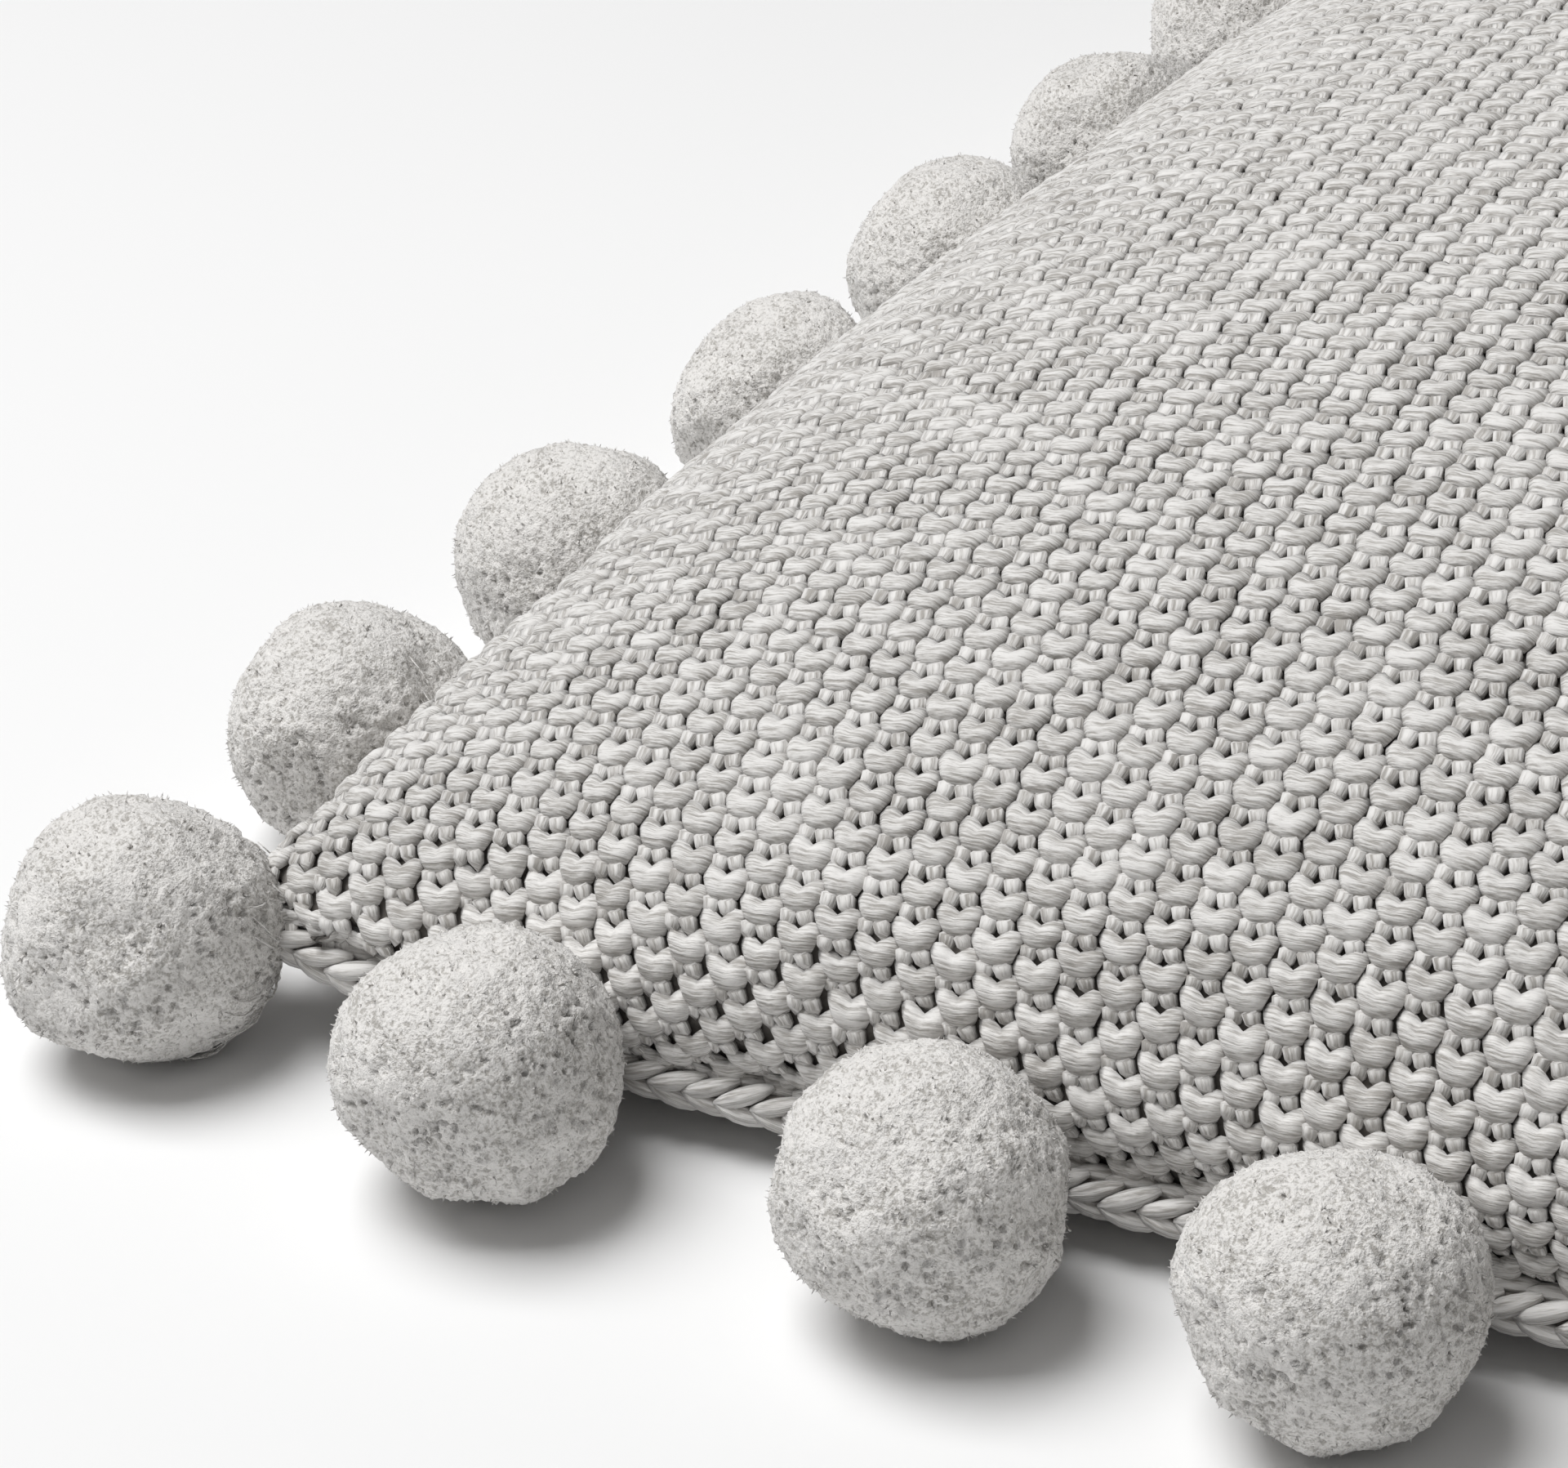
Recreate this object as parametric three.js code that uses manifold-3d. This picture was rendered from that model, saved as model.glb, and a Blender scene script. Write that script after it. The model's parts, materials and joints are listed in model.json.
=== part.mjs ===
// Knitted throw pillow: a zipped cover of two knit panels bound together along a cast-off edge,
// pom-poms tied on round that edge, and a fibre-filled woven insert inside.
// Millimetres, +Z up. It lies on its back panel on z = 0, centred on the origin.
import * as THREE from 'three';
import { mergeVertices } from 'three/addons/utils/BufferGeometryUtils.js';
import Module from 'manifold-3d';

const wasm = await Module();
wasm.setup();

// Cover
const coverSide = 500; // corner to corner along a side, over the bound edge
const sideBow = 5; // how far the middle of a side pulls in between its corners
const cornerPull = 7; // how far each corner is rounded in, along both of its sides
const cornerReach = 8; // power that keeps the rounding to the corner: higher is tighter
const seamHeight = 10; // seam above the surface that the pillow lies on
const crownRise = 100; // top of the front panel above the seam
const bellyDrop = 44; // how far the back panel would hang below the seam if nothing held it up
const edgeSharpness = 2.2; // plan power of the crown: higher is flatter in the middle
const edgeFullness = 0.38; // height power of the crown: lower is fuller at the edges
const knitThickness = 7;
const rimGap = 0.6; // between the two panels' rims at the seam

// Bound edge
const bindingRadius = 3.5;
const bindingClearance = 0.4;

// Insert and filling
const layerGap = 1.2; // cover to insert, and insert to filling
const insertSideGap = 3; // extra room round the insert, which doesn't fill the cover's edges
const insertSeamLift = 2; // insert's seam above the filling's underside
const caseThickness = 1.2;
const seamGap = 0.8; // between the two halves of the insert case

// Pom-poms
const pomsPerSide = 7; // steps from one corner to the next
const pomRadius = 20; // dense ball; the loose yarn ends stand a little proud of it
const pomStandoff = 2; // ball above the surface that the pillow lies on
const tieRadius = 2;
const tieLength = 1; // between the bound edge and the ball
const tieClearance = 0.4;

// Zip across the back panel, close to the far side
const zipLength = 340;
const zipInset = 34; // far side to the zip's middle line
const zipHeight = 6; // underside of the tapes
const tapeWidth = 6;
const tapeThickness = 0.8;
const coilWidth = 1.6;
const coilHeight = 1.2;
const zipClearance = 0.3;
const sliderLength = 9;
const sliderWall = 1;
const loopHeight = 2.6; // loop on the slider that holds the pull tab
const loopWidth = 1.6;
const loopLength = 4.4;
const tabLength = 18;
const tabWidth = 5;
const tabThickness = 1.1;
const stopLength = 3;

// Mesh fineness
const gridSteps = 16;
const bindingSides = 6;
const pomSegments = 9;
const pomRows = 6;

const halfSide = coverSide / 2;
const seamReach = halfSide - bindingRadius; // middle of the bound edge, from the pillow's centre
const panelReach = seamReach - bindingRadius - bindingClearance;
const pomHeight = pomRadius + pomStandoff;
const caseInset = knitThickness + layerGap; // from the cover's outer face to the insert's
const fillInset = caseInset + caseThickness + layerGap;
const insertSeam = fillInset + insertSeamLift;

const knitFinish = { color: 0xd8d6d2, roughness: 0.95, metalness: 0 };
const pomFinish = { color: 0xc9c6c2, roughness: 1, metalness: 0 };
const caseFinish = { color: 0xf0eeea, roughness: 0.9, metalness: 0 };
const fillFinish = { color: 0xf7f7f5, roughness: 1, metalness: 0 };
const tapeFinish = { color: 0xcfccc7, roughness: 0.9, metalness: 0 };
const coilFinish = { color: 0xdad8d4, roughness: 0.5, metalness: 0 };
const metalFinish = { color: 0xa9a9ab, roughness: 0.35, metalness: 1 };

const pillow = new THREE.Group();

function addPart(name, geometry, finish, parent = pillow) {
  const mesh = new THREE.Mesh(geometry, new THREE.MeshStandardMaterial(finish));
  mesh.name = name;
  parent.add(mesh);
  return mesh;
}

// Joins and cuts -------------------------------------------------------------

function toSolid(geometry) {
  const bare = geometry.clone();
  bare.deleteAttribute('normal');
  bare.deleteAttribute('uv');
  const merged = mergeVertices(bare, 1e-4);
  return new wasm.Manifold(new wasm.Mesh({
    numProp: 3,
    vertProperties: merged.attributes.position.array,
    triVerts: new Uint32Array(merged.index.array),
  }));
}

function toGeometry(solid) {
  const mesh = solid.getMesh();
  const geometry = new THREE.BufferGeometry();
  geometry.setAttribute('position', new THREE.Float32BufferAttribute(mesh.vertProperties, 3));
  geometry.setIndex(Array.from(mesh.triVerts));
  geometry.computeVertexNormals();
  return geometry;
}

function box(sizeX, sizeY, sizeZ, x, y, z) {
  return new THREE.BoxGeometry(sizeX, sizeY, sizeZ).translate(x, y, z);
}

// Pillow shape ---------------------------------------------------------------

// Plan point of a square with bowed sides and rounded corners; u and v run from -1 to 1.
function planPoint(u, v, reach) {
  const bow = sideBow / halfSide;
  const pull = (cornerPull / halfSide) * Math.abs(u * v) ** cornerReach;
  const x = reach * u * (1 - bow * (1 - v * v) - pull);
  const y = reach * v * (1 - bow * (1 - u * u) - pull);
  return [x, y];
}

function crown(u, v) {
  const across = Math.max(0, 1 - Math.abs(u) ** edgeSharpness);
  const along = Math.max(0, 1 - Math.abs(v) ** edgeSharpness);
  return (across * along) ** edgeFullness;
}

// Steps from -1 to 1 that lie closer together towards both ends, where the crown is steep.
function edgeStep(i) {
  return Math.sin((Math.PI / 2) * ((2 * i) / gridSteps - 1));
}

// A layer of the cover, pulled in by `inset` from its outer face.
function coverLayer(inset) {
  return { inset, reach: panelReach - inset, seam: seamHeight, rim: rimGap / 2 };
}

// A layer of the insert, with its own seam inside the cover's.
function insertLayer(inset) {
  return { inset, reach: panelReach - inset - insertSideGap, seam: insertSeam, rim: seamGap / 2 };
}

// Surface above a layer's seam.
function upperSurface({ inset, reach, seam, rim }) {
  const top = seamHeight + crownRise - inset;
  return (u, v) => {
    const [x, y] = planPoint(u, v, reach);
    return [x, y, seam + rim + (top - seam) * crown(u, v)];
  };
}

// Surface below a layer's seam, flat where the pillow rests.
function lowerSurface({ inset, reach, seam, rim }) {
  return (u, v) => {
    const [x, y] = planPoint(u, v, reach);
    return [x, y, Math.max(inset, seam - rim - (bellyDrop - inset) * crown(u, v))];
  };
}

// One closed body between two surfaces over the same square grid. Each square is split along the
// diagonal that points at the pillow's middle, so that every corner square rises from its rim.
function bodyBetween(top, bottom) {
  const steps = gridSteps;
  const row = steps + 1;
  const positions = [];
  for (const surface of [top, bottom]) {
    for (let j = 0; j < row; j += 1) {
      for (let i = 0; i < row; i += 1) {
        positions.push(...surface(edgeStep(i), edgeStep(j)));
      }
    }
  }
  const below = row * row;
  const index = [];
  for (let j = 0; j < steps; j += 1) {
    for (let i = 0; i < steps; i += 1) {
      const a = j * row + i;
      const b = a + 1;
      const c = a + row;
      const d = c + 1;
      const outer = (i < steps / 2) === (j < steps / 2) ? [a, b, d, a, d, c] : [a, b, c, b, d, c];
      index.push(...outer);
      index.push(...outer.map((vertex) => below + vertex).reverse());
    }
  }
  const rim = [];
  for (let i = 0; i < steps; i += 1) rim.push(i);
  for (let j = 0; j < steps; j += 1) rim.push(j * row + steps);
  for (let i = steps; i > 0; i -= 1) rim.push(steps * row + i);
  for (let j = steps; j > 0; j -= 1) rim.push(j * row);
  rim.forEach((a, k) => {
    const b = rim[(k + 1) % rim.length];
    index.push(a, below + a, below + b, a, below + b, b);
  });
  const geometry = new THREE.BufferGeometry();
  geometry.setAttribute('position', new THREE.Float32BufferAttribute(positions, 3));
  geometry.setIndex(index);
  geometry.computeVertexNormals();
  return geometry;
}

// Cover ----------------------------------------------------------------------

function addCover() {
  const outside = coverLayer(0);
  const inside = coverLayer(knitThickness);
  addPart('front_knit_panel', bodyBetween(upperSurface(outside), upperSurface(inside)), knitFinish);

  const back = bodyBetween(lowerSurface(inside), lowerSurface(outside));
  const slitWidth = 2 * (tapeWidth + 2 * zipClearance);
  const slitLength = zipLength + 2 * zipClearance;
  const slitDepth = 4 * seamHeight;
  const slit = toSolid(box(slitLength, slitWidth, slitDepth, 0, halfSide - zipInset, 0));
  addPart('back_knit_panel', toGeometry(toSolid(back).subtract(slit)), knitFinish);
}

// A closed tube that follows the seam outside both panels' rims.
function addBinding() {
  const around = [];
  for (let i = 0; i < gridSteps; i += 1) around.push([edgeStep(i), -1]);
  for (let i = 0; i < gridSteps; i += 1) around.push([1, edgeStep(i)]);
  for (let i = gridSteps; i > 0; i -= 1) around.push([edgeStep(i), 1]);
  for (let i = gridSteps; i > 0; i -= 1) around.push([-1, edgeStep(i)]);
  const positions = [];
  for (const [u, v] of around) {
    for (let k = 0; k < bindingSides; k += 1) {
      const turn = (2 * Math.PI * k) / bindingSides;
      const reach = seamReach + bindingRadius * Math.cos(turn);
      const [x, y] = planPoint(u, v, reach);
      positions.push(x, y, seamHeight + bindingRadius * Math.sin(turn));
    }
  }
  const index = [];
  around.forEach((_, i) => {
    const here = i * bindingSides;
    const next = ((i + 1) % around.length) * bindingSides;
    for (let k = 0; k < bindingSides; k += 1) {
      const up = (k + 1) % bindingSides;
      index.push(here + k, next + k, next + up, here + k, next + up, here + up);
    }
  });
  const geometry = new THREE.BufferGeometry();
  geometry.setAttribute('position', new THREE.Float32BufferAttribute(positions, 3));
  geometry.setIndex(index);
  geometry.computeVertexNormals();
  addPart('bound_edge', geometry, knitFinish);
}

// Insert ---------------------------------------------------------------------

function addInsert() {
  const outside = insertLayer(caseInset);
  const inside = insertLayer(caseInset + caseThickness);
  const filling = insertLayer(fillInset);
  addPart('insert_case_front', bodyBetween(upperSurface(outside), upperSurface(inside)), caseFinish);
  addPart('insert_case_back', bodyBetween(lowerSurface(inside), lowerSurface(outside)), caseFinish);
  addPart('fibre_filling', bodyBetween(upperSurface(filling), lowerSurface(filling)), fillFinish);
}

// Pom-poms -------------------------------------------------------------------

// Ball of yarn with the stub of its tie, as one turned shape; the tie points along +Y.
function pomShape() {
  const profile = [];
  const tieAngle = Math.asin(tieRadius / pomRadius);
  for (let row = 0; row <= pomRows; row += 1) {
    const turn = ((Math.PI - tieAngle) * row) / pomRows;
    const across = row === 0 ? 0 : pomRadius * Math.sin(turn);
    profile.push(new THREE.Vector2(across, -pomRadius * Math.cos(turn)));
  }
  const tieEnd = pomRadius + tieLength - tieClearance;
  profile.push(new THREE.Vector2(tieRadius, tieEnd));
  profile.push(new THREE.Vector2(0, tieEnd));
  return new THREE.LatheGeometry(profile, pomSegments);
}

// Seam points round the cover, with the outward direction and the bound edge's half width at each.
function pomPlaces() {
  const places = [];
  for (let side = 0; side < 4; side += 1) {
    for (let step = 0; step < pomsPerSide; step += 1) {
      const along = (2 * step) / pomsPerSide - 1;
      const [x, y] = planPoint(along, -1, seamReach);
      const seam = new THREE.Vector3(x, y, seamHeight);
      const outward = step === 0 ? new THREE.Vector3(-1, -1, 0) : new THREE.Vector3(0, -1, 0);
      const quarterTurn = (side * Math.PI) / 2;
      const upAxis = new THREE.Vector3(0, 0, 1);
      seam.applyAxisAngle(upAxis, quarterTurn);
      outward.normalize().applyAxisAngle(upAxis, quarterTurn);
      const edgeRadius = step === 0 ? Math.SQRT2 * bindingRadius : bindingRadius;
      places.push({ seam, outward, edgeRadius });
    }
  }
  return places;
}

function addPoms() {
  const lift = pomHeight - seamHeight;
  pomPlaces().forEach(({ seam, outward, edgeRadius }, i) => {
    const hang = edgeRadius + tieLength + pomRadius;
    const stretch = Math.sqrt(hang * hang - lift * lift);
    const name = `pompom_${String(i + 1).padStart(2, '0')}`;
    const pom = addPart(name, pomShape(), pomFinish);
    pom.position.copy(seam).addScaledVector(outward, stretch);
    pom.position.z = pomHeight;
    const tieDirection = seam.clone().sub(pom.position).normalize();
    pom.quaternion.setFromUnitVectors(new THREE.Vector3(0, 1, 0), tieDirection);
  });
}

// Zip ------------------------------------------------------------------------

// Everything is placed from the underside of the tapes, in the middle of the slit.
function addZip() {
  const zip = new THREE.Group();
  zip.position.set(0, halfSide - zipInset, zipHeight);
  pillow.add(zip);

  const coilTop = -zipClearance;
  const coilMiddle = coilTop - coilHeight / 2;
  const coilOffset = zipClearance / 2 + coilWidth / 2;
  const tapeOffset = zipClearance / 2 + tapeWidth / 2;
  const runLength = zipLength - 2 * stopLength - 4 * zipClearance;
  for (const [label, side] of [['near', -1], ['far', 1]]) {
    const tape = box(zipLength, tapeWidth, tapeThickness, 0, side * tapeOffset, tapeThickness / 2);
    addPart(`zip_tape_${label}`, tape, tapeFinish, zip);
    const coil = box(runLength, coilWidth, coilHeight, 0, side * coilOffset, coilMiddle);
    addPart(`zip_coil_${label}`, coil, coilFinish, zip);
  }

  const stopPlace = zipLength / 2 - zipClearance - stopLength / 2;
  const stopWidth = 2 * coilWidth + 2;
  const closedStop = box(stopLength, stopWidth, coilHeight, stopPlace, 0, coilMiddle);
  const openStop = box(stopLength, stopWidth, coilHeight, -stopPlace, 0, coilMiddle);
  addPart('zip_stop_closed_end', closedStop, metalFinish, zip);
  addPart('zip_stop_open_end', openStop, metalFinish, zip);

  const sliderPlace = runLength / 2 - zipClearance - sliderLength / 2;
  addSlider(zip, sliderPlace, coilTop);
}

// A channel that wraps both coils from below, with a loop under it for the pull tab.
function addSlider(zip, x, coilTop) {
  const channelHalf = coilWidth + 2 * zipClearance;
  const outerHalf = channelHalf + sliderWall;
  const plateTop = coilTop - coilHeight - zipClearance;
  const plateBottom = plateTop - sliderWall;
  const section = new THREE.Shape([
    new THREE.Vector2(-outerHalf, coilTop),
    new THREE.Vector2(-outerHalf, plateBottom),
    new THREE.Vector2(outerHalf, plateBottom),
    new THREE.Vector2(outerHalf, coilTop),
    new THREE.Vector2(channelHalf, coilTop),
    new THREE.Vector2(channelHalf, plateTop),
    new THREE.Vector2(-channelHalf, plateTop),
    new THREE.Vector2(-channelHalf, coilTop),
  ]);
  const channel = new THREE.ExtrudeGeometry(section, { depth: sliderLength, bevelEnabled: false });
  channel.rotateZ(Math.PI / 2).rotateY(Math.PI / 2).translate(x - sliderLength / 2, 0, 0);

  const pinRadius = tabThickness / 2;
  const holeRadius = pinRadius + zipClearance;
  const pinHeight = plateBottom - loopHeight / 2;
  const rooted = loopHeight + sliderWall / 2;
  const loop = box(loopLength, loopWidth, rooted, x, 0, plateBottom + sliderWall / 2 - rooted / 2);
  const eye = new THREE.CylinderGeometry(holeRadius, holeRadius, 2 * loopWidth, 10).translate(x, 0, pinHeight);
  const body = toSolid(channel).add(toSolid(loop)).subtract(toSolid(eye));
  addPart('zip_slider', toGeometry(body), metalFinish, zip);

  // The tab is a plate with a window round the loop, closed by the pin that passes through the eye.
  const windowHalf = loopWidth / 2 + zipClearance;
  const windowReach = loopLength / 2 + 2 * zipClearance;
  const armReach = windowReach + tabWidth / 2;
  const plate = box(tabLength - windowReach, tabWidth, tabThickness, x - (tabLength + windowReach) / 2, 0, pinHeight);
  const armWidth = tabWidth / 2 - windowHalf;
  const pin = new THREE.CylinderGeometry(pinRadius, pinRadius, tabWidth, 10).translate(x, 0, pinHeight);
  let tab = toSolid(plate).add(toSolid(pin));
  for (const side of [-1, 1]) {
    const arm = box(armReach, armWidth, tabThickness, x - armReach / 2, side * (windowHalf + armWidth / 2), pinHeight);
    tab = tab.add(toSolid(arm));
  }
  addPart('zip_pull_tab', toGeometry(tab), metalFinish, zip);
}

addCover();
addBinding();
addInsert();
addPoms();
addZip();

export default pillow;
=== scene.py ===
# Chunky knitted throw pillow with pom-poms, built round its CAD frame. Metres, +Z up.
import json
import math
import random

import bmesh
import bpy
import numpy as np
from mathutils import Matrix, Vector, noise
from mathutils.bvhtree import BVHTree

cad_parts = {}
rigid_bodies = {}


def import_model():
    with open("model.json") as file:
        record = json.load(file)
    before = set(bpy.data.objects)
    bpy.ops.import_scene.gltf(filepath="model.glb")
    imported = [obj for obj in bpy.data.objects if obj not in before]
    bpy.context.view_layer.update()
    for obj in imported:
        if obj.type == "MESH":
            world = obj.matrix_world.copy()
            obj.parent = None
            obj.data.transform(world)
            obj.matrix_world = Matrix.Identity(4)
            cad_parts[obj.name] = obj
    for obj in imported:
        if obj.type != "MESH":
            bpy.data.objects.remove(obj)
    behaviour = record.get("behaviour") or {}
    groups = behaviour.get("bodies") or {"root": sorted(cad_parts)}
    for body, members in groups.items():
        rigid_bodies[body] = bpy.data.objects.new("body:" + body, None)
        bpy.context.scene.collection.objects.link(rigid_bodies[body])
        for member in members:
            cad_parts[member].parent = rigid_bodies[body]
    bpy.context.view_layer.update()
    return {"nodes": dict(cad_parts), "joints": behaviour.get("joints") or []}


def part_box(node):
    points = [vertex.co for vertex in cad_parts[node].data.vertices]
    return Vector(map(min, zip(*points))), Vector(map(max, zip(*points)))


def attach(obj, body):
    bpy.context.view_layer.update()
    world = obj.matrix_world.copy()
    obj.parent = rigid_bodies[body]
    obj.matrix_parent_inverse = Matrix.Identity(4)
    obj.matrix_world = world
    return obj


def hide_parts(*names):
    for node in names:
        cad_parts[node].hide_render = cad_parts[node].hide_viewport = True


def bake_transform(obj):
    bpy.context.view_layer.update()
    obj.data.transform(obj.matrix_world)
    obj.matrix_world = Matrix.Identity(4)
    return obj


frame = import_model()
nodes = frame["nodes"]
rootBody = "cover_and_insert"
scene = bpy.context.scene


def keep(obj):
    scene.collection.objects.link(obj)
    return obj


def meshObject(name, points, faces, smooth=True):
    mesh = bpy.data.meshes.new(name)
    mesh.from_pydata([tuple(p) for p in points], [], [tuple(f) for f in faces])
    mesh.update()
    if smooth:
        mesh.shade_smooth()
    return keep(bpy.data.objects.new(name, mesh))


# faces between neighbouring rings of points, and a cap on each end; turned for rings that run clockwise
def tubeFaces(rings, capped=True, turned=False):
    faces = []
    for first, second in zip(rings, rings[1:]):
        for k in range(len(first)):
            after = (k + 1) % len(first)
            if turned:
                faces.append((first[k], second[k], second[after], first[after]))
            else:
                faces.append((first[k], first[after], second[after], second[k]))
    if capped:
        start, end = (rings[0], rings[-1][::-1]) if turned else (rings[0][::-1], rings[-1])
        faces += [tuple(start), tuple(end)]
    return faces


# adds a ring of points round a place, spanned by two half axes, and gives their numbers
def addRing(points, place, first, second, rounds):
    numbers = range(len(points), len(points) + rounds)
    for k in range(rounds):
        turn = 2 * math.pi * k / rounds
        points.append(place + first * math.cos(turn) + second * math.sin(turn))
    return numbers


# evaluated object as a plain mesh object; the source object goes
def finished(obj, name):
    evaluated = obj.evaluated_get(bpy.context.evaluated_depsgraph_get())
    mesh = bpy.data.meshes.new_from_object(evaluated)
    bpy.data.objects.remove(obj)
    mesh.name = name
    return keep(bpy.data.objects.new(name, mesh))


def joined(first, *others):
    for obj in scene.objects:
        obj.select_set(False)
    for obj in (first, *others):
        obj.select_set(True)
    bpy.context.view_layer.objects.active = first
    bpy.ops.object.join()
    return first


def setMaterial(obj, material):
    obj.data.materials.clear()
    obj.data.materials.append(material)
    return obj


class Wire:
    # one socket of a material; expressions on it add Math nodes

    def __init__(self, shader, socket):
        self.shader = shader
        self.socket = socket

    def math(self, operation, *values):
        return self.shader.add("ShaderNodeMath", {"operation": operation}, dict(enumerate(values)))

    def __add__(self, other):
        return self.math("ADD", self, other)

    def __sub__(self, other):
        return self.math("SUBTRACT", self, other)

    def __mul__(self, other):
        return self.math("MULTIPLY", self, other)


class Shader:
    # a node material built round one Principled BSDF

    def __init__(self, name, roughness=0.9, metallic=0.0, sheen=0.0):
        self.material = bpy.data.materials.new(name)
        self.material.use_nodes = True
        self.tree = self.material.node_tree
        self.surface = self.tree.nodes["Principled BSDF"]
        self.surface.inputs["Roughness"].default_value = roughness
        self.surface.inputs["Metallic"].default_value = metallic
        self.surface.inputs["Sheen Weight"].default_value = sheen
        self.surface.inputs["Sheen Roughness"].default_value = 0.6

    def add(self, kind, settings=None, values=None, output=0):
        node = self.tree.nodes.new(kind)
        for key, value in (settings or {}).items():
            setattr(node, key, value)
        for key, value in (values or {}).items():
            if isinstance(value, Wire):
                self.tree.links.new(value.socket, node.inputs[key])
            else:
                node.inputs[key].default_value = value
        return Wire(self, node.outputs[output])

    def objectPlace(self):
        return self.add("ShaderNodeTexCoord", output="Object")

    def attribute(self, name, output="Fac"):
        return self.add("ShaderNodeAttribute", {"attribute_name": name}, output=output)

    def noise(self, place, scale, detail=2.0, roughness=0.5):
        return self.add("ShaderNodeTexNoise", None,
                        {"Vector": place, "Scale": scale, "Detail": detail, "Roughness": roughness})

    def stretched(self, place, scale):
        return self.add("ShaderNodeMapping", None, {"Vector": place, "Scale": scale})

    def mix(self, factor, first, second):
        return self.add("ShaderNodeMix", {"data_type": "RGBA"}, {0: factor, 6: first, 7: second}, output=2)

    def band(self, value, low, high):
        return self.add("ShaderNodeMapRange", None, {"Value": value, "From Min": low, "From Max": high})

    def bump(self, height, strength, distance):
        return self.add("ShaderNodeBump", None,
                        {"Height": height, "Strength": strength, "Distance": distance})

    def wear(self, **links):
        for key, wire in links.items():
            self.tree.links.new(wire.socket, self.surface.inputs[key.replace("_", " ")])
        return self.material


def rgba(red, green, blue):
    return (red, green, blue, 1.0)


yarnLook = {
    "light": rgba(0.80, 0.785, 0.765),
    "deep": rgba(0.38, 0.36, 0.335),
    "fibresAcross": 18.0,
    "fibresAlong": 2.0,
    "pliesAcross": 6.0,
    "pliesAlong": 0.8,
    "fibreHeight": 0.00022,
    "toneSpread": 0.06,
}


def yarnMaterial(name, look=yarnLook):
    # fibres run along the yarn, so the pattern follows its own u (along) and v (across)
    shader = Shader(name, roughness=0.92, sheen=0.25)
    along = shader.add("ShaderNodeUVMap", {"uv_map": "yarn"})
    pick = shader.attribute("pick")
    offset = shader.add("ShaderNodeCombineXYZ", None, {"X": pick * 37.0, "Y": pick * 11.0, "Z": pick * 5.0})
    place = shader.add("ShaderNodeVectorMath", {"operation": "ADD"}, {0: along, 1: offset})
    drawn = shader.stretched(place, (look["fibresAlong"], look["fibresAcross"], 1))
    fibre = shader.noise(drawn, 1.0, 3.0, 0.6)
    plies = shader.noise(shader.stretched(place, (look["pliesAlong"], look["pliesAcross"], 1)), 1.0, 1.0)
    tone = fibre * 0.75 + plies * 0.25 + (pick - 0.5) * look["toneSpread"]
    colour = shader.mix(shader.band(tone, 0.38, 0.56), look["deep"], look["light"])
    height = fibre * 0.7 + plies * 0.5
    return shader.wear(Base_Color=colour, Normal=shader.bump(height, 0.9, look["fibreHeight"] * 2))


def paintedShadeGroundMaterial():
    # the same pale yarn seen deep between the stitches, painted dark as the shade that falls there; the
    # grain only varies it
    shader = Shader("knit_painted_shade", roughness=1.0)
    grain = shader.noise(shader.objectPlace(), 700.0, 3.0)
    # painted shade: dark greys where the pale yarn lies in shadow between the stitches
    colour = shader.mix(grain, rgba(0.12, 0.11, 0.10), rgba(0.28, 0.26, 0.24))
    return shader.wear(Base_Color=colour, Normal=shader.bump(grain, 0.6, 0.0006))


pomLook = {
    "light": rgba(0.82, 0.80, 0.775),
    # painted shade colour for the partings, where the ends lie in shadow
    "deep": rgba(0.46, 0.44, 0.41),
    "ends": 1250.0,          # yarn ends to the metre
    "fibres": 2900.0,
    "patches": 120.0,
}


def pomMaterial():
    # cut pile: pale yarn ends packed side by side, with painted shade where they part (the low parts of the
    # same noise as the bump) and random tone from patches and picks
    shader = Shader("pompom_pile", roughness=0.95, sheen=0.35)
    place = shader.objectPlace()
    end = shader.noise(place, pomLook["ends"], 2.0, 0.6)
    fibre = shader.noise(place, pomLook["fibres"], 2.0, 0.6)
    patch = shader.noise(place, pomLook["patches"], 2.0)
    pick = shader.attribute("pick")
    partingShade = end + fibre * 0.35 - patch * 0.35 + (pick - 0.5) * 0.06
    # painted shade: the deep colour follows the partings between yarn ends, with some random tone
    colour = shader.mix(shader.band(partingShade, 0.33, 0.52), pomLook["deep"], pomLook["light"])
    return shader.wear(Base_Color=colour, Normal=shader.bump(end + fibre * 0.4, 0.75, 0.0007))


def wovenMaterial(name, light, deep, threads):
    # plain weave on object coordinates: two sets of threads passing over each other
    shader = Shader(name, roughness=0.9, sheen=0.1)
    place = shader.objectPlace()
    waves = [shader.add("ShaderNodeTexWave", {"bands_direction": axis},
                        {"Vector": place, "Scale": threads, "Distortion": 0.6, "Detail": 1.0}, output=1)
             for axis in ("X", "Y")]
    weave = waves[0] * 0.5 + waves[1] * 0.5
    slub = shader.noise(place, 260.0, 3.0)
    colour = shader.mix(weave * 0.6 + slub * 0.4, deep, light)
    return shader.wear(Base_Color=colour, Normal=shader.bump(weave + slub * 0.4, 0.5, 0.0003))


def fillMaterial():
    shader = Shader("polyester_fibre", roughness=1.0, sheen=0.4)
    place = shader.objectPlace()
    strand = shader.noise(shader.stretched(place, (60, 420, 200)), 1.0, 5.0, 0.7)
    tuft = shader.noise(place, 45.0, 3.0)
    colour = shader.mix(strand * 0.6 + tuft * 0.4, rgba(0.72, 0.72, 0.72), rgba(0.9, 0.9, 0.89))
    return shader.wear(Base_Color=colour, Normal=shader.bump(strand + tuft, 0.8, 0.002))


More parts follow.
